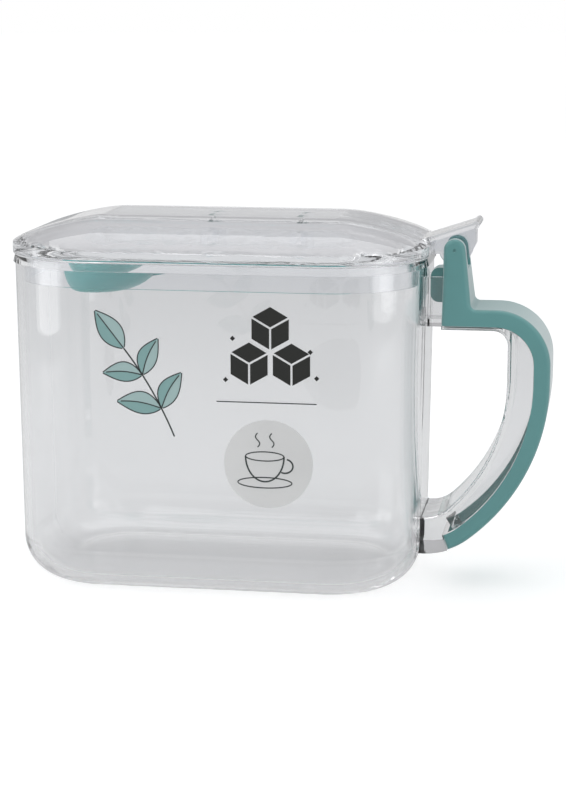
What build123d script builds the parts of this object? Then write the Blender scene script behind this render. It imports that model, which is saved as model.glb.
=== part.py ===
from build123d import *
from math import atan2, cos, degrees, hypot, pi, radians, sin, tan
import os

# A clear sugar pot with a hinged lid, a green clip-on handle cover and a measuring spoon kept under the lid.
# Millimetres. The origin is the centre of the base, +X points to the handle and +Z is up.

# Lid, seen from above
lid_length = 120.0
lid_width = 78.0
lid_corner = 28.0
band_height = 3.4
band_edge = 0.7
crown_rise = 7.4
crown_inset = 26.0
crown_slope = 36.0
crown_slope_run = 5.6
crown_flat_run = 4.0
crown_wall = 5.3
skirt_depth = 7.2
skirt_wall = 1.5
skirt_play = 0.6

# Tub
tub_height = 95.0
tub_wall = 2.0
tub_floor = 2.6
tub_draft = 0.7
base_round = 12.0
lid_overhang = 0.6
bead_height = 2.2
bead_proud = 0.5

# Hinge: the pivot and the two ears of the handle cover
pivot_reach = 6.7
pivot_rise = 1.8
ear_radius = 3.1
ear_half_width = 7.2
ear_lean = 7.0
slot_half_width = 4.5
slot_reach = 5.5
pin_radius = 1.4
pin_length = 1.7
pin_play = 0.05
socket_play = 0.15
dimple_radius = 0.4
dimple_depth = 0.3

# Handle, seen from the side
arm_drop = 14.6
arm_depth = 5.8
bend_radius = 15.6
grip_reach = 34.6
grip_straight = 4.8
grip_depth = 12.1
curl_start = 52.0
curl_radius = 20.0
curl_depth = 10.6
root_low = 9.3
finger_corner = 4.2
finger_round = 0.8
neck_half_width = 9.0
neck_rise = 5.6
grip_half_width = 12.3
shoulder_drop = 6.4
flare_round = 40.0

# Handle cover and the clear core under it
cover_wall = 2.0
cover_side = 4.6
cover_end = 70.0
cover_round = 1.3
inner_corner = 1.6
seat_gap = 0.1
core_wall = 1.7
web_wall = 2.0
pocket_end = 58.0

# Bracket between the tub and the upright, and the cover's hook block in it
rib_half_gap = 3.7
rib_wall = 1.8
rib_end_play = 0.5
hook_play = 0.4
hook_side_play = 0.2
hook_lift = 1.1
hook_round = 2.4
shelf = 2.0

# Thumb lever
lever_angle = 18.3
lever_lap = 4.5
lever_reach = 12.6
lever_rise = 2.3
lever_thickness = 1.6
lever_width = 16.0
roll_radius = 1.1
web_side_play = 0.3
web_thickness = 1.6
web_radius = 4.7
web_right = 5.7
web_tip = 12.0
web_shoulder = 1.3
web_lift = 0.3
web_lap = 1.0
gusset_size = 2.6

# Measuring spoon and its clips
bowl_length = 30.5
bowl_width = 30.0
bowl_margin = 10.5
bowl_depth = 11.2
bowl_wall = 1.3
bowl_flat = 0.36
bowl_shift = 5.6
bowl_steps = 4
spoon_drop = 1.6
spoon_length = 86.0
stem_width = 9.0
stem_end_width = 11.0
stem_thickness = 2.2
stem_edge = 0.5
hang_hole = 2.2
stem_rib_depth = 4.6
stem_rib_width = 2.0
stem_rib_length = 21.7
clip_setbacks = (40.3, 14.3)
clip_length = 5.0
clip_wall = 1.4
clip_play = 0.15
clip_reach = 0.5

# Places worked out from the sizes above
band_top = tub_height + band_height
crown_top = band_top + crown_rise
pivot_x = lid_length / 2 + pivot_reach
pivot_z = tub_height + pivot_rise
draft_inset = tub_height * tan(radians(tub_draft))
arm_top = tub_height - arm_drop
arm_under = arm_top - arm_depth
grip_x = lid_length / 2 + grip_reach
bend_x = grip_x - bend_radius
bend_z = arm_top - bend_radius
grip_z = bend_z - grip_straight
grip_radius = curl_radius + (grip_z - curl_radius - root_low) / sin(radians(curl_start))
grip_centre_x = grip_x - grip_radius
curl_x = grip_centre_x + (grip_radius - curl_radius) * cos(radians(curl_start))
curl_z = grip_z - (grip_radius - curl_radius) * sin(radians(curl_start))
curl_inside = curl_radius - curl_depth
finger_x = grip_x - grip_depth
finger_radius = ((finger_x - curl_x) ** 2 + (grip_z - curl_z) ** 2 - curl_inside ** 2) / (
    2 * (finger_x - curl_x - curl_inside))
finger_centre_x = finger_x - finger_radius
finger_turn = degrees(atan2(grip_z - curl_z, curl_x - finger_centre_x))
wall_x = lid_length / 2 - lid_overhang - tub_wall / 2
upright_x = pivot_x - ear_radius
slot_floor = pivot_z - slot_reach
handle_reach = 2 * grip_half_width
neck_height = arm_top + neck_rise
grip_shoulder = arm_top - shoulder_drop
lever_start_x = lid_length / 2 - lever_lap
lever_tip_x = lid_length / 2 + lever_reach
rim_z = tub_height - spoon_drop
spoon_left = bowl_margin - lid_length / 2
spoon_right = spoon_left + spoon_length
bowl_x = spoon_left + bowl_length / 2
stem_start_x = spoon_left + bowl_length - stem_width / 2
stem_end_x = spoon_right - stem_end_width / 2


def plan_outline(inset):
    """The pot's outline from above, set in from the lid's edge."""
    RectangleRounded(lid_length - 2 * inset, lid_width - 2 * inset, lid_corner - inset)


def handle_run(depth, start_x, end_angle):
    """The handle's run at one depth below its outer face: arm, bend, grip and lower curl."""
    Line((start_x, arm_top - depth), (bend_x, arm_top - depth))
    CenterArc((bend_x, bend_z), bend_radius - depth, 0, 90)
    Line((grip_x - depth, bend_z), (grip_x - depth, grip_z))
    CenterArc((grip_centre_x, grip_z), grip_radius - depth, -curl_start, curl_start)
    CenterArc((curl_x, curl_z), curl_radius - depth, -end_angle, end_angle - curl_start)


def finger_run(lift, start_x, end_angle):
    """The side of the handle that the fingers touch, or a line that far inside it."""
    corner_x = finger_x - finger_corner
    corner_z = arm_under - finger_corner
    Line((start_x, arm_under + lift), (corner_x, arm_under + lift))
    CenterArc((corner_x, corner_z), finger_corner + lift, 0, 90)
    Line((finger_x + lift, corner_z), (finger_x + lift, grip_z))
    CenterArc((finger_centre_x, grip_z), finger_radius + lift, -finger_turn, finger_turn)
    CenterArc((curl_x, curl_z), curl_inside + lift, -end_angle, end_angle - finger_turn)


def curl_point(depth, angle):
    """A point on the lower curl, at a depth below the outer face."""
    reach = curl_radius - depth
    return (curl_x + reach * cos(radians(angle)), curl_z - reach * sin(radians(angle)))


def handle_band(depth_out, depth_in, start_x, end_angle):
    """Side view of the handle between two depths below its outer face."""
    with BuildSketch() as band:
        with BuildLine():
            handle_run(depth_out, start_x, end_angle)
            handle_run(depth_in, start_x, end_angle)
            Line((start_x, arm_top - depth_out), (start_x, arm_top - depth_in))
            Line(curl_point(depth_out, end_angle), curl_point(depth_in, end_angle))
        make_face()
    return band.sketch


def core_band(depth_out, lift, start_x, end_angle):
    """Side view of the handle from a depth below its outer face to a line above the finger side."""
    with BuildSketch() as band:
        with BuildLine():
            handle_run(depth_out, start_x, end_angle)
            finger_run(lift, start_x, end_angle)
            Line((start_x, arm_top - depth_out), (start_x, arm_under + lift))
            Line(curl_point(depth_out, end_angle), curl_point(curl_depth - lift, end_angle))
        make_face()
    return band.sketch


def handle_front(inset):
    """The handle seen from its end, slim at the ears and flared to the grip, set in evenly by a wall."""
    top = pivot_z + 2 * ear_radius
    with BuildSketch() as front:
        with BuildLine():
            Polyline((0, 0), (grip_half_width, 0), (grip_half_width, grip_shoulder),
                     (neck_half_width, neck_height), (ear_half_width, top), (0, top))
            mirror(about=Plane.YZ)
        make_face()
        fillet(vertices().group_by(Axis.Y)[1] + vertices().group_by(Axis.Y)[2], flare_round)
        if inset:
            offset(amount=-inset, kind=Kind.INTERSECTION, mode=Mode.REPLACE)
    return front.sketch


def upright_edge(wall, height):
    """Where the upright's leaning outer face, or a line one wall inside it, stands at a height."""
    lean = radians(ear_lean)
    return pivot_x + (ear_radius - wall) / cos(lean) + (pivot_z - height) * tan(lean)


def upright_side(wall, left, low, high):
    """Side view of the upright, set in from its outer face by a wall, and up to the ears' round where it has none."""
    lean = radians(ear_lean)
    tip = (pivot_x + ear_radius * cos(lean), pivot_z + ear_radius * sin(lean))
    with BuildSketch() as side:
        with BuildLine():
            if wall:
                Polyline((left, high), (left, low), (upright_edge(wall, low), low), (upright_edge(wall, high), high),
                         close=True)
            else:
                Polyline((left, high), (left, low), (upright_edge(0, low), low), tip, (pivot_x, pivot_z), close=True)
        make_face()
    return side.sketch


def handle_depth(point):
    """How far a point lies below the handle's outer face, seen from the side."""
    if point.Z > bend_z and point.X < bend_x:
        return arm_top - point.Z
    if point.Z > bend_z:
        return bend_radius - hypot(point.X - bend_x, point.Z - bend_z)
    if point.Z > grip_z:
        return grip_x - point.X
    if hypot(point.X - curl_x, point.Z - curl_z) < curl_radius and point.X < curl_point(0, curl_start)[0]:
        return curl_radius - hypot(point.X - curl_x, point.Z - curl_z)
    return grip_radius - hypot(point.X - grip_centre_x, point.Z - grip_z)


def is_cover_rim(edge):
    """Whether an edge runs round the outside of the cover, and isn't a seam across one of its side faces."""
    middle = edge @ 0.5
    seam = abs((edge % 0.5).X) > 0.99 and abs(middle.Z - arm_top) > 0.01
    return handle_depth(middle) < cover_side / 2 and not seam


def is_finger_rim(edge):
    """Whether an edge runs round the finger side of the clear handle."""
    middle = edge @ 0.5
    on_run = middle.X > upright_x and (edge @ 0).X > root_x + tub_wall and (edge @ 1).X > root_x + tub_wall
    return on_run and handle_depth(middle) > (cover_side + curl_depth) / 2 and abs((edge % 0.5).Y) < 0.9


# Handle cover: a green channel that wraps the clear handle and ends in two hinge ears
with BuildPart() as cover_space:
    with BuildSketch(Plane.XZ):
        add(handle_band(cover_wall, cover_side + cover_wall, upright_x - cover_wall,
                        cover_end - degrees(cover_wall / curl_radius)))
        add(upright_side(cover_wall, upright_x - cover_wall, arm_top - cover_side - cover_wall, slot_floor - shelf))
    extrude(amount=handle_reach, both=True)
    with BuildSketch(Plane.YZ):
        add(handle_front(cover_wall))
    extrude(amount=grip_x + cover_wall, mode=Mode.INTERSECT)

with BuildPart() as handle_cover:
    with BuildSketch(Plane.XZ):
        add(handle_band(0, cover_side, upright_x, cover_end))
        add(upright_side(0, upright_x, arm_top - cover_side, pivot_z))
        with Locations((pivot_x, pivot_z)):
            Circle(ear_radius)
        fillet(vertices().sort_by_distance((upright_edge(0, arm_top), arm_top))[0], inner_corner)
    extrude(amount=handle_reach, both=True)
    with BuildSketch(Plane.YZ):
        add(handle_front(0))
    extrude(amount=grip_x + cover_wall, mode=Mode.INTERSECT)
    rims = handle_cover.edges().filter_by(Axis.Y, reverse=True).filter_by(is_cover_rim)
    fillet(rims, cover_round)
    add(cover_space.part, mode=Mode.SUBTRACT)
    # Slot for the lid's hinge webs, with a blind socket in each ear
    slot_top = pivot_z + 2 * ear_radius
    with BuildSketch(Plane.XZ):
        with Locations((pivot_x, (slot_floor + slot_top) / 2)):
            Rectangle(4 * ear_radius, slot_top - slot_floor)
    extrude(amount=slot_half_width, both=True, mode=Mode.SUBTRACT)
    with BuildSketch(Plane.XZ):
        with Locations((pivot_x, pivot_z)):
            Circle(pin_radius + pin_play)
    extrude(amount=slot_half_width - web_side_play + pin_length + socket_play, both=True, mode=Mode.SUBTRACT)
    # Moulding dimple on the outside of each ear
    ear_face = ear_half_width + (slot_top - pivot_z) * (neck_half_width - ear_half_width) / (slot_top - neck_height)
    for side in (-1, 1):
        with BuildSketch(Plane.XZ.offset(-side * (ear_face - dimple_depth))):
            with Locations((pivot_x, pivot_z)):
                Circle(dimple_radius)
        extrude(amount=-side, mode=Mode.SUBTRACT)
    # Hook block that sits between the bracket's ribs
    with BuildSketch(Plane.XZ):
        hook_low = arm_top + hook_lift
        hook_left = lid_length / 2 - lid_overhang + hook_play
        hook_right = upright_edge(cover_wall / 2, slot_floor)
        with Locations(((hook_left + hook_right) / 2, (hook_low + slot_floor) / 2)):
            Rectangle(hook_right - hook_left, slot_floor - hook_low)
        fillet(vertices().group_by(Axis.X)[0], hook_round)
    extrude(amount=rib_half_gap - hook_side_play, both=True)
handle_cover.part.label = "handle_cover"


# Clear handle under the cover: full width below the cover's sides, stepped in to stand inside them
# Its root runs on into the cavity, whose cut ends it at the wall
core_start = cover_side + seat_gap
step_start = cover_wall + seat_gap
root_x = lid_length / 2 - lid_overhang - draft_inset - tub_wall / 2
root_end_x = lid_length / 2 - lid_corner
root_angle = cover_end + degrees(seat_gap / curl_radius)

with BuildPart() as core_sides:
    with BuildSketch(Plane.XZ):
        add(core_band(core_start, 0, upright_x, root_angle))
        with BuildLine():
            CenterArc((curl_x, curl_z), curl_radius, -90, 90 - root_angle)
            CenterArc((curl_x, curl_z), curl_inside, -90, 90 - root_angle)
            Line(curl_point(0, root_angle), curl_point(curl_depth, root_angle))
            Polyline((curl_x, curl_z - curl_radius), (root_end_x, curl_z - curl_radius),
                     (root_end_x, curl_z - curl_inside), (curl_x, curl_z - curl_inside))
        make_face()
    extrude(amount=handle_reach, both=True)
    with BuildSketch(Plane.YZ):
        add(handle_front(0))
    extrude(amount=grip_x, mode=Mode.INTERSECT)
    inside = core_sides.edges().filter_by(is_finger_rim)
    fillet(inside, finger_round)

with BuildPart() as core_step:
    with BuildSketch(Plane.XZ):
        add(core_band(step_start, web_wall / 2, upright_x, cover_end - degrees(step_start / curl_radius)))
    extrude(amount=handle_reach, both=True)
    with BuildSketch(Plane.YZ):
        add(handle_front(step_start))
    extrude(amount=grip_x, mode=Mode.INTERSECT)

with BuildPart() as core_pocket:
    with BuildSketch(Plane.XZ):
        add(core_band(0, web_wall, upright_x + core_wall, pocket_end))
    extrude(amount=handle_reach, both=True)
    with BuildSketch(Plane.YZ):
        add(handle_front(step_start + core_wall))
    extrude(amount=grip_x, mode=Mode.INTERSECT)

# Tub: drafted rounded walls, a rim bead and the clear handle
with BuildPart() as tub_space:
    with BuildSketch(Plane.XY.offset(tub_height)):
        plan_outline(lid_overhang + tub_wall)
    with BuildSketch(Plane.XY.offset(tub_floor)):
        plan_outline(lid_overhang + tub_wall + (tub_height - tub_floor) * tan(radians(tub_draft)))
    loft(ruled=True)
    fillet(tub_space.faces().sort_by(Axis.Z)[0].edges(), base_round - tub_wall)

with BuildPart() as tub:
    with BuildSketch(Plane.XY.offset(tub_height)):
        plan_outline(lid_overhang)
    with BuildSketch():
        plan_outline(lid_overhang + draft_inset)
    loft(ruled=True)
    fillet(tub.faces().sort_by(Axis.Z)[0].edges(), base_round)
    # Bead under the rim, proudest at its lower edge
    with BuildSketch(Plane.XY.offset(tub_height - bead_height)):
        plan_outline(lid_overhang - bead_proud)
    with BuildSketch(Plane.XY.offset(tub_height)):
        plan_outline(lid_overhang)
    loft(ruled=True)
    add(core_sides.part)
    add(core_step.part)
    add(core_pocket.part, mode=Mode.SUBTRACT)
    # Bracket: two ribs and a floor plate between the wall and the arm
    with BuildSketch(Plane.XZ.offset(-rib_half_gap - rib_wall)):
        rib_right = upright_edge(cover_wall, slot_floor - shelf) - rib_end_play
        rib_top = slot_floor - shelf - rib_end_play
        with Locations(((wall_x + rib_right) / 2, (arm_under + rib_top) / 2)):
            Rectangle(rib_right - wall_x, rib_top - arm_under)
    extrude(amount=rib_wall)
    with BuildSketch(Plane.XZ.offset(rib_half_gap)):
        with Locations(((wall_x + rib_right) / 2, (arm_under + rib_top) / 2)):
            Rectangle(rib_right - wall_x, rib_top - arm_under)
    extrude(amount=rib_wall)
    with BuildSketch(Plane.XZ):
        with Locations(((wall_x + rib_right) / 2, arm_under + web_wall / 2)):
            Rectangle(rib_right - wall_x, web_wall)
    extrude(amount=rib_half_gap + rib_wall, both=True)
    add(tub_space.part, mode=Mode.SUBTRACT)
tub.part.label = "tub"


def lever_line(x):
    """Height of the thumb lever's top at a place along the pot."""
    return band_top + lever_rise + (x - lid_length / 2) * tan(radians(lever_angle))


def web_side():
    """Side view of a hinge web, rounded about the pivot."""
    tip = (pivot_x + web_radius * cos(radians(web_tip)), pivot_z - web_radius * sin(radians(web_tip)))
    shoulder_x = pivot_x + web_right
    with BuildSketch() as side:
        with Locations((pivot_x, pivot_z)):
            Circle(web_radius)
        with BuildLine():
            Polyline((lid_length / 2 - web_lap, tub_height + web_lift), (pivot_x, tub_height + web_lift), tip,
                     (shoulder_x, pivot_z + web_shoulder), (shoulder_x, lever_line(shoulder_x) - lever_thickness / 2),
                     (lid_length / 2 - web_lap, lever_line(lid_length / 2 - web_lap) - lever_thickness / 2), close=True)
        make_face()
    return side.sketch


def stem_half(x):
    """Half the width of the spoon's stem at a place along the pot."""
    share = (x - stem_start_x) / (stem_end_x - stem_start_x)
    return (stem_width + (stem_end_width - stem_width) * share) / 2


# Outside of the lid: a straight side, then a slope that flattens into the top
skirt_low = tub_height - skirt_depth
skirt_inside = lid_overhang + tub_wall + skirt_play + skirt_wall

with BuildPart() as crown_block:
    with BuildSketch(Plane.XY.offset(skirt_low)):
        plan_outline(0)
    extrude(amount=band_top - skirt_low)
    with BuildLine() as rim:
        FilletPolyline((lid_length / 2, 0, band_top), (lid_length / 2, lid_width / 2, band_top),
                       (-lid_length / 2, lid_width / 2, band_top), (-lid_length / 2, 0, band_top), radius=lid_corner)
    with BuildSketch(Plane.XZ):
        with BuildLine():
            flat_x = lid_length / 2 - crown_inset
            Bezier((lid_length / 2, band_top),
                   (lid_length / 2 - crown_slope_run, band_top + crown_slope_run * tan(radians(crown_slope))),
                   (flat_x + crown_flat_run, crown_top), (flat_x, crown_top))
            Polyline((flat_x, crown_top), (flat_x, band_top), (lid_length / 2, band_top))
        make_face()
    sweep(path=rim.line)
    mirror(about=Plane.XZ)
    with BuildSketch(Plane.XY.offset(band_top)):
        plan_outline(crown_inset)
    extrude(amount=crown_rise)

# Inside of the lid: the skirt's opening under a roof that follows the crown one wall below it
with BuildPart() as lid_space:
    with BuildSketch(Plane.XY.offset(skirt_low)):
        plan_outline(skirt_inside)
    extrude(amount=crown_top - skirt_low)
    add(Pos(0, 0, -crown_wall) * crown_block.part, mode=Mode.INTERSECT)

# Lid: side band, crown, plug skirt, thumb lever, hinge webs and spoon clips
with BuildPart() as lid:
    add(crown_block.part)
    split(bisect_by=Plane.XY.offset(tub_height), keep=Keep.TOP)
    fillet(lid.faces().sort_by(Axis.Z)[0].edges(), band_edge)
    with BuildSketch(Plane.XY.offset(skirt_low)):
        plan_outline(skirt_inside - skirt_wall)
    extrude(amount=skirt_depth)
    # Thumb lever with a rolled edge
    with BuildSketch(Plane.XZ):
        with BuildLine():
            Polyline((lever_start_x, lever_line(lever_start_x)), (lever_tip_x, lever_line(lever_tip_x)),
                     (lever_tip_x, lever_line(lever_tip_x) - lever_thickness),
                     (lever_start_x, lever_line(lever_start_x) - lever_thickness), close=True)
        make_face()
        with Locations((lever_tip_x, lever_line(lever_tip_x) - lever_thickness / 2)):
            Circle(roll_radius)
    extrude(amount=lever_width / 2, both=True)
    # Hinge webs with their stub pins, and a small gusset under each side of the lever
    web_outer = slot_half_width - web_side_play
    for start in (web_outer - web_thickness, -web_outer):
        with BuildSketch(Plane.XZ.offset(start)):
            add(web_side())
        extrude(amount=web_thickness)
    for start in (web_outer - web_thickness / 2, -web_outer - pin_length):
        with BuildSketch(Plane.XZ.offset(start)):
            with Locations((pivot_x, pivot_z)):
                Circle(pin_radius)
        extrude(amount=pin_length + web_thickness / 2)
    for start in (lever_width / 2 - web_thickness, -lever_width / 2):
        with BuildSketch(Plane.XZ.offset(start)):
            with BuildLine():
                Polyline((lid_length / 2 - web_lap, lever_line(lid_length / 2) - lever_thickness / 2),
                         (lid_length / 2 - web_lap, lever_line(lid_length / 2) - lever_thickness - gusset_size),
                         (lid_length / 2 + gusset_size, lever_line(lid_length / 2 + gusset_size) - lever_thickness / 2),
                         close=True)
            make_face()
        extrude(amount=web_thickness)
    add(lid_space.part, mode=Mode.SUBTRACT)
    # Spring clips that hold the spoon's stem
    for setback in clip_setbacks:
        place = spoon_right - setback
        inside = stem_half(place) + clip_play
        clip_top = crown_top - crown_wall / 2
        with BuildSketch(Plane.YZ.offset(place - clip_length / 2)):
            with Locations((0, (rim_z - stem_thickness - clip_reach + clip_top) / 2)):
                Rectangle(2 * (inside + clip_wall), clip_top - rim_z + stem_thickness + clip_reach)
                Rectangle(2 * inside, clip_top - rim_z + stem_thickness + clip_reach, mode=Mode.SUBTRACT)
        extrude(amount=clip_length)
        with BuildSketch(Plane.YZ.offset(place - clip_wall / 2)):
            with Locations((0, (rim_z + clip_top) / 2)):
                Rectangle(2 * (inside + clip_wall), clip_top - rim_z)
        extrude(amount=clip_wall)
lid.part.label = "lid"


# Measuring spoon: an oval bowl with a flat bottom, a tapered stem with a rib under its root, and a hanging hole
with BuildPart() as bowl_space:
    for step in range(bowl_steps + 1):
        turn = pi / 2 * step / bowl_steps
        with BuildSketch(Plane.XY.offset(rim_z - (bowl_depth - bowl_wall) * sin(turn))):
            with Locations((bowl_x - bowl_shift * (1 - cos(turn)), 0)):
                share = bowl_flat + (1 - bowl_flat) * cos(turn)
                Ellipse(share * (bowl_length / 2 - bowl_wall), share * (bowl_width / 2 - bowl_wall))
    loft()

with BuildPart() as measuring_spoon:
    with BuildSketch(Plane.XY.offset(rim_z - stem_thickness)):
        with BuildLine():
            CenterArc((stem_start_x, 0), stem_width / 2, 0, 360)
            CenterArc((stem_end_x, 0), stem_end_width / 2, 0, 360)
        make_hull()
    extrude(amount=stem_thickness)
    fillet(measuring_spoon.edges().filter_by(Plane.XY), stem_edge)
    stem_rib_end = spoon_left + bowl_length + stem_rib_length
    with BuildSketch(Plane.XZ):
        with BuildLine():
            Polyline((stem_start_x, rim_z - stem_thickness / 2), (stem_start_x, rim_z - stem_thickness - stem_rib_depth),
                     (stem_rib_end, rim_z - stem_thickness), (stem_rib_end, rim_z - stem_thickness / 2), close=True)
        make_face()
    extrude(amount=stem_rib_width / 2, both=True)
    for step in range(bowl_steps + 1):
        turn = pi / 2 * step / bowl_steps
        with BuildSketch(Plane.XY.offset(rim_z - bowl_depth * sin(turn))):
            with Locations((bowl_x - bowl_shift * (1 - cos(turn)), 0)):
                share = bowl_flat + (1 - bowl_flat) * cos(turn)
                Ellipse(share * bowl_length / 2, share * bowl_width / 2)
    loft()
    add(bowl_space.part, mode=Mode.SUBTRACT)
    with Locations((stem_end_x, 0, rim_z)):
        Hole(hang_hole)
measuring_spoon.part.label = "measuring_spoon"

os.makedirs("parts", exist_ok=True)
for piece in (tub, handle_cover, lid, measuring_spoon):
    export_step(piece.part, "parts/" + piece.part.label + ".step")
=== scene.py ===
# %% [markdown]
# A clear sugar pot with a hinged lid, photographed in soft light.
# The CAD frame holds the four real pieces: the clear tub with its handle core, the green handle cover,
# the clear lid and the green measuring spoon kept under it. Their shapes are right already,
# so this script gives them their finishes, prints the front wall, and sets up the studio.

# %% Load the frame
from math import atan2, cos, degrees, pi, radians, sin, tan

import bmesh
import bpy
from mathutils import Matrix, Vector


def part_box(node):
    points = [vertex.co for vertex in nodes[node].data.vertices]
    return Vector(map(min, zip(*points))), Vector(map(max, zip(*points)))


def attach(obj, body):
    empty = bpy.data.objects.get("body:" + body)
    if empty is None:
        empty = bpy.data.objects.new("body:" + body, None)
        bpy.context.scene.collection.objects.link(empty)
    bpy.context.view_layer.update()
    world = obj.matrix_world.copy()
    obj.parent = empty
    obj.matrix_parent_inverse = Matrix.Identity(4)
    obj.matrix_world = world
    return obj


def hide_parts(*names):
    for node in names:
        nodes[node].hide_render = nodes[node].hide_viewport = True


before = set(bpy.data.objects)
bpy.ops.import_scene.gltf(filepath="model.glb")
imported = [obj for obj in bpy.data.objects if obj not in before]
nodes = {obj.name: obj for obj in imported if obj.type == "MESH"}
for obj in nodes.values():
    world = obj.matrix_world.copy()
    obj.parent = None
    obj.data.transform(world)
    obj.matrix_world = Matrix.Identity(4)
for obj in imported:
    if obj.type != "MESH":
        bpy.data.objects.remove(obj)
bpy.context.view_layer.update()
tub_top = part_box("tub")[1].z

# %% [markdown]
# The camera comes first, because everything else is judged through it.
# The photo was taken from slightly above and a little to the right of straight on, from about 0.6 m.
# A long lens at a short distance is given by its field of view: 2132 pixels of focal length
# on a picture 800 pixels high, which is about 96 mm on a sensor 36 mm high.

# %% Camera
MM = 0.001
PHOTO_HEIGHT = 800
FOCAL_PIXELS = 2132
SHIFT_PIXELS = (5.1, -2.9)
SENSOR_HEIGHT = 36
camera_yaw = radians(9.3)
camera_pitch = radians(11.2)
camera_distance = 626 * MM
camera_target = Vector((15, 0, 51.5)) * MM
level_share = cos(camera_pitch)
toward_camera = Vector((sin(camera_yaw) * level_share, -cos(camera_yaw) * level_share, sin(camera_pitch)))

camera_data = bpy.data.cameras.new("camera")
camera_data.sensor_fit = "VERTICAL"
camera_data.sensor_height = SENSOR_HEIGHT
camera_data.lens = FOCAL_PIXELS / PHOTO_HEIGHT * SENSOR_HEIGHT
camera_data.shift_x, camera_data.shift_y = [pixels / PHOTO_HEIGHT for pixels in SHIFT_PIXELS]
camera_data.clip_start = 10 * MM
camera = bpy.data.objects.new("camera", camera_data)
camera.location = camera_target + camera_distance * toward_camera
camera.rotation_euler = toward_camera.to_track_quat("Z", "Y").to_euler()
bpy.context.collection.objects.link(camera)
bpy.context.scene.camera = camera
print("camera at", [round(v, 3) for v in camera.location], "lens", round(camera_data.lens, 1))

# %% [markdown]
# Every finish is a small node tree round one Principled shader.
# A helper makes the material and hands back its tree, so that each cell below only says what is special
# about its own piece: the colour, how shiny it is, and the fine waviness that moulding leaves.

# %% Helpers for finishes
def new_finish(name, color, roughness):
    """A material whose Principled shader has this colour and roughness, with its tree and shader."""
    material = bpy.data.materials.new(name)
    material.use_nodes = True
    tree = material.node_tree
    shader = tree.nodes["Principled BSDF"]
    shader.inputs["Base Color"].default_value = (*color, 1)
    shader.inputs["Roughness"].default_value = roughness
    return material, tree, shader


def add_waves(tree, shader, size, height, detail=2):
    """Bump from noise: waves of this size, both lengths in metres."""
    place = tree.nodes.new("ShaderNodeTexCoord")
    noise = tree.nodes.new("ShaderNodeTexNoise")
    noise.inputs["Scale"].default_value = 1 / size
    noise.inputs["Detail"].default_value = detail
    bump = tree.nodes.new("ShaderNodeBump")
    bump.inputs["Distance"].default_value = height
    tree.links.new(place.outputs["Object"], noise.inputs["Vector"])
    tree.links.new(noise.outputs["Fac"], bump.inputs["Height"])
    tree.links.new(bump.outputs["Normal"], shader.inputs["Normal"])


def set_steps(ramp, steps):
    """Gives a colour ramp its steps from low to high, each a position and a colour."""
    elements = ramp.color_ramp.elements
    for element, (position, color) in zip(elements, (steps[0], steps[-1])):
        element.position = position
        element.color = (*color, 1)
    for position, color in steps[1:-1]:
        elements.new(position).color = (*color, 1)


def dress(obj, material):
    """Gives a piece its finish."""
    obj.data.materials.clear()
    obj.data.materials.append(material)
    print(obj.name, "wears", material.name)


# %% [markdown]
# The lid rests on the tub's rim, so in the CAD its underside and the rim lie in one plane.
# A ray can't tell which of two faces in the same place it meets first. It then leaves one resin without
# entering the other and gets lost between them, which shows as black lines all round the lid.
# A real lid touches its rim only here and there, with a hair of air between the two. So the lid shown here
# is a copy of the CAD lid with its seat raised by that hair, and it stands for the CAD lid.

# %% Lid with air under its seat
SEAT_GAP = 0.05 * MM
clear_lid = bpy.data.objects.new("clear_lid", nodes["lid"].data.copy())
seat = [point for point in clear_lid.data.vertices if abs(point.co.z - tub_top) < SEAT_GAP / 5]
for point in seat:
    point.co.z += SEAT_GAP
bpy.context.collection.objects.link(clear_lid)
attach(clear_lid, "lid")
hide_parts("lid")
print("clear_lid has", len(seat), "points on its seat")

# %% [markdown]
# Clear resin. The tub and lid of such a pot are moulded from a clear styrene resin:
# glossy, very slightly blue-grey, and bending light more than water does. The lid's tint is a little deeper.
# Each solid has its real wall, so a plain refracting shader gives the bright and dark edges by itself.
# A lamp's rays are let through by a Transparent shader, because a refracting solid would
# otherwise throw a black shadow.

# %% Clear resin
RESIN_IOR = 1.57
LAMP_SHARE = 0.96


def clear_resin(name, color):
    """A refracting resin with a faint tint, which lets most of the lamps' light straight through."""
    material, tree, shader = new_finish(name, color, 0.0)
    shader.inputs["Transmission Weight"].default_value = 1.0
    shader.inputs["IOR"].default_value = RESIN_IOR
    add_waves(tree, shader, 30 * MM, 0.02 * MM)
    ray = tree.nodes.new("ShaderNodeLightPath")
    passing = tree.nodes.new("ShaderNodeBsdfTransparent")
    passing.inputs["Color"].default_value = (LAMP_SHARE, LAMP_SHARE, LAMP_SHARE, 1)
    either = tree.nodes.new("ShaderNodeMixShader")
    tree.links.new(ray.outputs["Is Shadow Ray"], either.inputs[0])
    tree.links.new(shader.outputs["BSDF"], either.inputs[1])
    tree.links.new(passing.outputs["BSDF"], either.inputs[2])
    tree.links.new(either.outputs["Shader"], tree.nodes["Material Output"].inputs["Surface"])
    return material


dress(nodes["tub"], clear_resin("resin_tub", (0.978, 0.980, 0.985)))
dress(clear_lid, clear_resin("resin_lid", (0.955, 0.963, 0.982)))

# %% [markdown]
# Green plastic. The handle cover and the spoon are moulded in an opaque grey-green with a satin skin.
# A fine noise breaks up the highlight as a spark-eroded mould does, and a slow noise shifts the colour
# by up to three percent, which keeps large faces from looking like paint.
# The cover's faces look paler the more they turn away from the eye, which the shader's sheen gives.

# %% Green plastic
PLASTIC_IOR = 1.49
HAZE_ROUGHNESS = 0.4
DRIFT = 0.03
DRIFT_SIZE = 25 * MM


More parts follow.
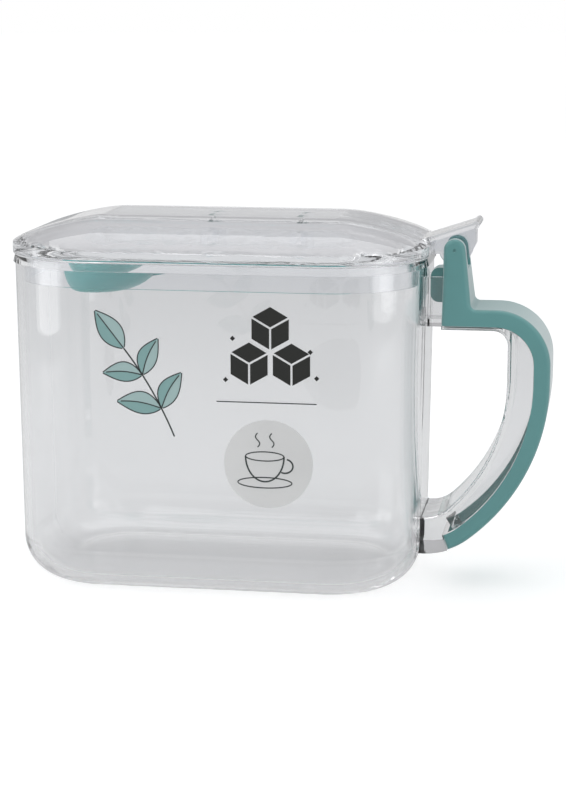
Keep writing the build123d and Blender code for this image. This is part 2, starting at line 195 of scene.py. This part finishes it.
def satin_plastic(name, color, roughness, grain, grain_height, haze=0.0):
    """An opaque satin plastic with a fine grain, a slow drift of its colour and a pale haze at its edges."""
    material, tree, shader = new_finish(name, color, roughness)
    shader.inputs["IOR"].default_value = PLASTIC_IOR
    shader.inputs["Sheen Weight"].default_value = haze
    shader.inputs["Sheen Roughness"].default_value = HAZE_ROUGHNESS
    add_waves(tree, shader, grain, grain_height, detail=3)
    place = tree.nodes.new("ShaderNodeTexCoord")
    drift = tree.nodes.new("ShaderNodeTexNoise")
    drift.inputs["Scale"].default_value = 1 / DRIFT_SIZE
    ramp = tree.nodes.new("ShaderNodeValToRGB")
    set_steps(ramp, ((0.35, [c * (1 - DRIFT) for c in color]), (0.65, [c * (1 + DRIFT) for c in color])))
    tree.links.new(place.outputs["Object"], drift.inputs["Vector"])
    tree.links.new(drift.outputs["Fac"], ramp.inputs["Fac"])
    tree.links.new(ramp.outputs["Color"], shader.inputs["Base Color"])
    return material


dress(nodes["handle_cover"], satin_plastic("green_cover", (0.12, 0.313, 0.31), 0.34, 0.5 * MM, 0.01 * MM, haze=1.0))
dress(nodes["measuring_spoon"], satin_plastic("green_spoon", (0.13, 0.46, 0.45), 0.32, 0.6 * MM, 0.01 * MM))

# %% [markdown]
# The front wall carries a small printed picture: a sprig of leaves, a stack of sugar cubes, a thin rule
# and a round badge with a cup. Ink is a thin layer on the wall, so each colour is one mesh of thin closed strips
# that lie a few hundredths of a millimetre off the resin. Strips made from curves stay sharp at any size,
# and a picture file isn't needed. The wall leans in a little towards the base, and the ink follows it.

# %% Helpers: strips on the front wall
WALL_AT_RIM = 38.4
WALL_DRAFT = radians(0.7)
FILL_LIFTS = (0.02, 0.05)
LINE_LIFTS = (0.06, 0.09)
rim_height = tub_top / MM


def on_front(x, z, lift):
    """A point on the tub's front wall, raised by a lift. All in millimetres, handed back in metres."""
    wall = WALL_AT_RIM - (rim_height - z) * tan(WALL_DRAFT)
    return Vector((x, -wall - lift, z)) * MM


def add_strip(form, edge_a, edge_b, lifts, closed=False):
    """A thin solid strip between two edges with equally many points."""
    low, high = lifts
    rungs = []
    for a, b in zip(edge_a, edge_b):
        rungs.append([form.verts.new(on_front(*p, lift)) for p, lift in ((a, low), (b, low), (b, high), (a, high))])
    pairs = list(zip(rungs, rungs[1:]))
    if closed:
        pairs.append((rungs[-1], rungs[0]))
    else:
        form.faces.new(rungs[0])
        form.faces.new(rungs[-1])
    for one, two in pairs:
        for k in range(4):
            form.faces.new((one[k], one[(k + 1) % 4], two[(k + 1) % 4], two[k]))


def add_stroke(form, path, width, closed=False):
    """A line of even width along a path."""
    edges = ([], [])
    last = len(path) - 1
    for i, (x, z) in enumerate(path):
        before = path[i - 1] if closed or i > 0 else path[0]
        after = path[(i + 1) % len(path)] if closed or i < last else path[last]
        along = Vector((after[0] - before[0], after[1] - before[1])).normalized()
        for edge, side in zip(edges, (-width / 2, width / 2)):
            edge.append((x - side * along.y, z + side * along.x))
    add_strip(form, *edges, LINE_LIFTS, closed)


def oval(centre, reach_x, reach_z, start=0, turn=360, steps=48):
    """Points on an oval, or on a part of it, by angles in degrees."""
    angles = [radians(start + turn * i / steps) for i in range(steps + (abs(turn) < 360))]
    return [(centre[0] + reach_x * cos(a), centre[1] + reach_z * sin(a)) for a in angles]


# %% [markdown]
# Ink dries matt, with a grain too low to see as a shape. Every colour of the print is made the same way,
# and every printed piece rides on the pot, so it stays on the wall when the lid opens.

# %% Helpers: ink
INK_ROUGHNESS = 0.6


def new_ink(name, color):
    """A matt ink in one colour."""
    return satin_plastic(name, color, INK_ROUGHNESS, 0.4 * MM, 0.002 * MM)


def printed(name, form, ink):
    """Makes one ink's strips into a piece that rides on the pot."""
    bmesh.ops.recalc_face_normals(form, faces=form.faces)
    mesh = bpy.data.meshes.new(name)
    form.to_mesh(mesh)
    form.free()
    mesh.materials.append(ink)
    piece = bpy.data.objects.new(name, mesh)
    bpy.context.collection.objects.link(piece)
    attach(piece, "pot")
    print(name, "has", len(mesh.polygons), "faces and wears", ink.name)


# %% [markdown]
# The sprig has five leaves on a bent stem. A leaf is a widening and narrowing line across its midrib:
# one function gives the curve at any share of the leaf's width, from -1 at one edge to 1 at the other.
# The light half lies between -1 and 0 and the dark half between 0 and 1, and the outline runs along both edges.
# Each leaf is given by its place along the stem, its side of the stem and its length.

# %% Leaves
STEM_START, STEM_BEND, STEM_END = (-8.0, 47.0), (-13.5, 60.5), (-22.0, 71.5)
LEAF_SPREAD = 56
LEAF_WIDTH = 0.24
LEAF_SAG = 0.06
LEAF_BELLY = 0.85
LEAVES = ((0.30, 1, 13.0), (0.30, -1, 12.0), (0.68, 1, 11.5), (0.68, -1, 11.5), (1.0, 0, 13.5))


def stem_point(t):
    """A point on the sprig's stem, and the direction of the stem there in degrees."""
    x, z = [(1 - t) ** 2 * a + 2 * t * (1 - t) * b + t * t * c for a, b, c in zip(STEM_START, STEM_BEND, STEM_END)]
    run, rise = [(1 - t) * (b - a) + t * (c - b) for a, b, c in zip(STEM_START, STEM_BEND, STEM_END)]
    return (x, z), degrees(atan2(rise, run))


def leaf_line(leaf, across, start=0.02, end=0.98, steps=18):
    """The curve along a leaf at a share of its half width."""
    t, side, length = leaf
    (x, z), lean = stem_point(t)
    lean = radians(lean + side * LEAF_SPREAD)
    points = []
    for i in range(steps + 1):
        share = start + (end - start) * i / steps
        along = share * length
        aside = length * (across * LEAF_WIDTH * sin(pi * share ** LEAF_BELLY) - side * LEAF_SAG * sin(pi * share))
        points.append((x + along * cos(lean) - aside * sin(lean), z + along * sin(lean) + aside * cos(lean)))
    return points


ink_leaf_light = new_ink("ink_leaf_light", (0.40, 0.55, 0.54))
ink_leaf_dark = new_ink("ink_leaf_dark", (0.25, 0.43, 0.42))
for name, ink, share in (("leaves_light", ink_leaf_light, -1), ("leaves_dark", ink_leaf_dark, 1)):
    form = bmesh.new()
    for leaf in LEAVES:
        add_strip(form, leaf_line(leaf, share), leaf_line(leaf, 0), FILL_LIFTS)
    printed(name, form, ink)

# %% [markdown]
# The sugar cubes are drawn the way a dice is: three faces round one corner, with a thin gap between them.
# Each face is pulled in towards its own middle, which leaves the gap, so no line has to be drawn.
# A few grains of sugar lie round them as small squares that stand on a corner.

# %% Sugar cubes
CUBE_EDGE = 6.3
CUBE_FILL = 0.90
CUBE_PLACES = ((13.2, 68.2), (25.0, 68.2), (19.1, 78.2))
GRAIN_PLACES = ((6.6, 63.6), (32.0, 64.6), (30.2, 71.9), (8.6, 75.2))
GRAIN_SIZE = 0.75
cube_side = CUBE_EDGE * cos(radians(30))
cube_lean = CUBE_EDGE * sin(radians(30))

form = bmesh.new()
for x, z in CUBE_PLACES:
    top = [(0, 0), (cube_side, cube_lean), (0, 2 * cube_lean), (-cube_side, cube_lean)]
    left = [(0, 0), (-cube_side, cube_lean), (-cube_side, cube_lean - CUBE_EDGE), (0, -CUBE_EDGE)]
    right = [(-a, b) for a, b in left]
    for face in (top, left, right):
        middle = [sum(p[k] for p in face) / 4 for k in (0, 1)]
        near = [(x + middle[0] + CUBE_FILL * (a - middle[0]), z + middle[1] + CUBE_FILL * (b - middle[1]))
                for a, b in face]
        add_strip(form, (near[0], near[1]), (near[3], near[2]), FILL_LIFTS)
for x, z in GRAIN_PLACES:
    add_strip(form, ((x - GRAIN_SIZE, z), (x, z + GRAIN_SIZE)), ((x, z - GRAIN_SIZE), (x + GRAIN_SIZE, z)), FILL_LIFTS)
printed("sugar_cubes", form, new_ink("ink_black", (0.012, 0.013, 0.011)))

# %% [markdown]
# The badge is a pale grey disc. Its two half outlines are the edges of one wide strip,
# and they start and end two degrees apart, so that the strip has no end of zero width.

# %% Badge
BADGE_CENTRE = (18.5, 40.0)
BADGE_RADIUS = 12.5
BADGE_STEPS = 60

badge_low = oval(BADGE_CENTRE, BADGE_RADIUS, BADGE_RADIUS, 181, 178, BADGE_STEPS)
badge_high = oval(BADGE_CENTRE, BADGE_RADIUS, BADGE_RADIUS, 179, -178, BADGE_STEPS)
form = bmesh.new()
add_strip(form, badge_high, badge_low, FILL_LIFTS)
printed("badge", form, new_ink("ink_grey", (0.75, 0.75, 0.745)))

# %% [markdown]
# One dark ink draws all the thin lines: the stem and the leaves' outlines, the rule under the cubes,
# and the cup with its saucer and its steam. They lie a little higher than the filled shapes,
# so that a line over a leaf or over the badge is never in the same place as the ink under it.

# %% Line drawing
THIN, BOLD = 0.32, 0.45
RULE = ((4.0, 57.4), (32.0, 57.4))
LINE_STEPS = 12
STEAM_WAVE, STEAM_RISE = 0.6, 4.0
cup_x, cup_z = BADGE_CENTRE
cup_rim = (cup_x - 1, cup_z + 2.2)
cup_ear = (cup_x + 4.6, cup_z - 0.4)
saucer = (cup_x - 1, cup_z - 5.3)

form = bmesh.new()
add_stroke(form, [stem_point(i / LINE_STEPS)[0] for i in range(LINE_STEPS + 1)], BOLD)
for leaf in LEAVES:
    add_stroke(form, leaf_line(leaf, -1), THIN)
    add_stroke(form, leaf_line(leaf, 1), THIN)
    add_stroke(form, leaf_line(leaf, 0, 0.0, 0.9), THIN)
add_stroke(form, RULE, THIN)
add_stroke(form, oval(cup_rim, 5.4, 1.3), THIN, closed=True)
add_stroke(form, oval(cup_rim, 5.4, 7.2, 180, 180), BOLD)
add_stroke(form, oval(cup_ear, 2.3, 2.0, 75, -190, 20), BOLD)
add_stroke(form, oval(saucer, 7.6, 1.5), THIN, closed=True)
for steam_x in (cup_x - 3, cup_x + 1):
    steam = [(steam_x + STEAM_WAVE * sin(2 * pi * i / LINE_STEPS), cup_z + 4.8 + STEAM_RISE * i / LINE_STEPS)
             for i in range(LINE_STEPS + 1)]
    add_stroke(form, steam, THIN)
printed("line_drawing", form, new_ink("ink_line", (0.045, 0.055, 0.055)))

# %% [markdown]
# The studio: a pale floor, and a world that is plain white where the camera looks.
# Glass shows what surrounds it, so the world that mirrors and refractions see has a darker band
# a little above a paler horizon. That band draws the grey lines along the resin's edges,
# and the same ring all round keeps the pot looking right from every side.
# Plain surfaces get one even grey from the world, as soft light from all round.

# %% World
RING = ((0.07, 0.80, 0.80), (0.17, 0.42, 0.4284), (0.40, 0.58, 0.5916), (0.62, 0.62, 0.6324), (0.95, 0.78, 0.78))
SOFT_LIGHT = (0.44, 0.45, 0.46, 1)


def seen_rays(tree):
    """The Light Path node, and a value that is 1 for rays from the camera, from mirrors and through resin."""
    ray = tree.nodes.new("ShaderNodeLightPath")
    mirror_or_camera = tree.nodes.new("ShaderNodeMath")
    mirror_or_camera.operation = "MAXIMUM"
    seen = tree.nodes.new("ShaderNodeMath")
    seen.operation = "MAXIMUM"
    tree.links.new(ray.outputs["Is Camera Ray"], mirror_or_camera.inputs[0])
    tree.links.new(ray.outputs["Is Glossy Ray"], mirror_or_camera.inputs[1])
    tree.links.new(mirror_or_camera.outputs[0], seen.inputs[0])
    tree.links.new(ray.outputs["Is Transmission Ray"], seen.inputs[1])
    return ray, seen


world = bpy.data.worlds.new("studio")
world.use_nodes = True
bpy.context.scene.world = world
sky = world.node_tree
direction = sky.nodes.new("ShaderNodeTexCoord")
height = sky.nodes.new("ShaderNodeSeparateXYZ")
ring = sky.nodes.new("ShaderNodeValToRGB")
set_steps(ring, [(place, (grey, grey, blue)) for place, grey, blue in RING])
ray, seen = seen_rays(sky)
surroundings = sky.nodes.new("ShaderNodeMix")
surroundings.data_type = "RGBA"
surroundings.inputs["A"].default_value = SOFT_LIGHT
shown = sky.nodes.new("ShaderNodeMix")
shown.data_type = "RGBA"
shown.inputs["B"].default_value = (1, 1, 1, 1)
sky.links.new(direction.outputs["Generated"], height.inputs[0])
sky.links.new(height.outputs["Z"], ring.inputs["Fac"])
sky.links.new(seen.outputs[0], surroundings.inputs["Factor"])
sky.links.new(ring.outputs["Color"], surroundings.inputs["B"])
sky.links.new(ray.outputs["Is Camera Ray"], shown.inputs["Factor"])
sky.links.new(surroundings.outputs["Result"], shown.inputs["A"])
sky.links.new(shown.outputs["Result"], sky.nodes["Background"].inputs["Color"])
print("world", world.name, "has a ring of", len(RING), "steps")

# %% [markdown]
# The floor is one large disc of matt paper under the pot, a hair below it.
# Plain surfaces see only the paper. What the camera, mirrors and resin see gets some changes in the next two cells.

# %% Floor
FLOOR_RADIUS = 6.0
FLOOR_DROP = 0.2 * MM
floor_mesh = bpy.data.meshes.new("floor")
floor_form = bmesh.new()
bmesh.ops.create_circle(floor_form, cap_ends=True, segments=96, radius=FLOOR_RADIUS)
floor_form.to_mesh(floor_mesh)
floor_form.free()
floor = bpy.data.objects.new("floor", floor_mesh)
floor.location.z = -FLOOR_DROP
bpy.context.collection.objects.link(floor)
floor_finish, floor_tree, paper = new_finish("floor_paper", (0.80, 0.80, 0.80), 0.9)
floor_mesh.materials.append(floor_finish)
print("floor wears", floor_finish.name)

# %% [markdown]
# The paper glows a little for the camera, so that open floor reaches white while the pot's soft shadow
# still shows on it. The lamps light the middle more than the rest, so the glow rises outwards
# and the two add up to the same white everywhere. Each step gives a distance from the pot and a glow.
# Mirrors and resin see only a small share of the glow, because the photo's resin is greyer than the white round it.

# %% Floor glow
GLOW_REACH = 3.0
GLOW = ((3.0, 0.63), (1.7, 0.615), (1.06, 0.57), (0.7, 0.50), (0.3, 0.42), (0.0, 0.38))
THROUGH_RESIN = 0.08
floor_place = floor_tree.nodes.new("ShaderNodeTexCoord")
reach = floor_tree.nodes.new("ShaderNodeMapping")
reach.inputs["Scale"].default_value = (1 / GLOW_REACH, 1 / GLOW_REACH, 1)
spread = floor_tree.nodes.new("ShaderNodeTexGradient")
spread.gradient_type = "SPHERICAL"
level = floor_tree.nodes.new("ShaderNodeValToRGB")
set_steps(level, [(1 - distance / GLOW_REACH, (grey, grey, grey)) for distance, grey in GLOW])
ray, seen = seen_rays(floor_tree)
dimmer = floor_tree.nodes.new("ShaderNodeMapRange")
dimmer.inputs["To Min"].default_value = THROUGH_RESIN
glow = floor_tree.nodes.new("ShaderNodeEmission")
lit = floor_tree.nodes.new("ShaderNodeAddShader")
floor_tree.links.new(floor_place.outputs["Object"], reach.inputs["Vector"])
floor_tree.links.new(reach.outputs["Vector"], spread.inputs["Vector"])
floor_tree.links.new(spread.outputs["Fac"], level.inputs["Fac"])
floor_tree.links.new(level.outputs["Color"], glow.inputs["Color"])
floor_tree.links.new(ray.outputs["Is Camera Ray"], dimmer.inputs["Value"])
floor_tree.links.new(dimmer.outputs["Result"], glow.inputs["Strength"])
floor_tree.links.new(paper.outputs["BSDF"], lit.inputs[0])
floor_tree.links.new(glow.outputs["Emission"], lit.inputs[1])
print("floor glow has", len(GLOW), "steps")

# %% [markdown]
# The room in front of the pot, behind the camera, is a little darker than the white floor behind it.
# The pot's front mirrors that room. So in mirrors and through resin the floor darkens towards the viewer:
# it mixes with black from 0.15 m in front of the pot, by a fifth from 0.45 m on.
# The camera itself never sees that shade. A last mix keeps the plain paper for all other rays.

# %% Floor in front
SHADE_START, SHADE_FULL = -0.15, -0.45
ROOM_SHADE = 0.2
away = floor_tree.nodes.new("ShaderNodeSeparateXYZ")
room = floor_tree.nodes.new("ShaderNodeMapRange")
for socket, value in (("From Min", SHADE_FULL), ("From Max", SHADE_START), ("To Min", ROOM_SHADE), ("To Max", 0.0)):
    room.inputs[socket].default_value = value
mirrored = floor_tree.nodes.new("ShaderNodeMath")
mirrored.operation = "SUBTRACT"
mirrored.use_clamp = True
unlit = floor_tree.nodes.new("ShaderNodeBsdfDiffuse")
unlit.inputs["Color"].default_value = (0, 0, 0, 1)
front_mix = floor_tree.nodes.new("ShaderNodeMixShader")
floor_mix = floor_tree.nodes.new("ShaderNodeMixShader")
floor_tree.links.new(floor_place.outputs["Object"], away.inputs[0])
floor_tree.links.new(away.outputs["Y"], room.inputs["Value"])
floor_tree.links.new(room.outputs["Result"], mirrored.inputs[0])
floor_tree.links.new(ray.outputs["Is Camera Ray"], mirrored.inputs[1])
floor_tree.links.new(mirrored.outputs[0], front_mix.inputs[0])
floor_tree.links.new(lit.outputs["Shader"], front_mix.inputs[1])
floor_tree.links.new(unlit.outputs["BSDF"], front_mix.inputs[2])
floor_tree.links.new(seen.outputs[0], floor_mix.inputs[0])
floor_tree.links.new(paper.outputs["BSDF"], floor_mix.inputs[1])
floor_tree.links.new(front_mix.outputs["Shader"], floor_mix.inputs[2])
floor_tree.links.new(floor_mix.outputs["Shader"], floor_tree.nodes["Material Output"].inputs["Surface"])
print("floor in front is darker by", ROOM_SHADE, "in mirrors and through resin")

# %% [markdown]
# Three softboxes: high on the left and in front, on the right for the handle, and a large one overhead.
# All three are wide for their power, so that their mirror images on the lid stay pale and soft.
# Two small ones stand low at the sides, and the tub's rounded corners mirror them as soft upright bands.

# %% Softboxes
def softbox(name, place, aim, size, power):
    """A square lamp at a place, turned to a point, both in metres."""
    data = bpy.data.lights.new(name, "AREA")
    data.shape = "SQUARE"
    data.size = size
    data.energy = power
    lamp = bpy.data.objects.new(name, data)
    lamp.location = place
    lamp.rotation_euler = (Vector(place) - Vector(aim)).to_track_quat("Z", "Y").to_euler()
    lamp.visible_camera = False
    bpy.context.collection.objects.link(lamp)
    print(name, "power", power)


pot_middle = (0, 0, tub_top / 2)
softbox("softbox_left", (-0.55, -0.60, 0.75), pot_middle, 0.85, 2.2)
softbox("softbox_right", (0.65, -0.45, 0.50), pot_middle, 0.80, 1.3)
softbox("softbox_top", (0.0, 0.25, 0.95), pot_middle, 1.10, 3.4)
softbox("side_left", (-0.34, -0.13, 0.12), pot_middle, 0.22, 0.20)
softbox("side_right", (0.40, -0.13, 0.10), pot_middle, 0.18, 0.09)

# %% [markdown]
# Light passes through up to six walls of resin where the lid, skirt, tub and handle overlap.
# Each wall bends a ray twice, so the renderer is allowed enough bends to get out again.
# The Standard view shows every colour about as it is written.

# %% Light paths and view
BENDS = 32
light_paths = bpy.context.scene.cycles
light_paths.max_bounces = BENDS
light_paths.transmission_bounces = BENDS
light_paths.glossy_bounces = BENDS
light_paths.transparent_max_bounces = BENDS
bpy.context.scene.view_settings.view_transform = "Standard"
print("rays may bend", BENDS, "times")
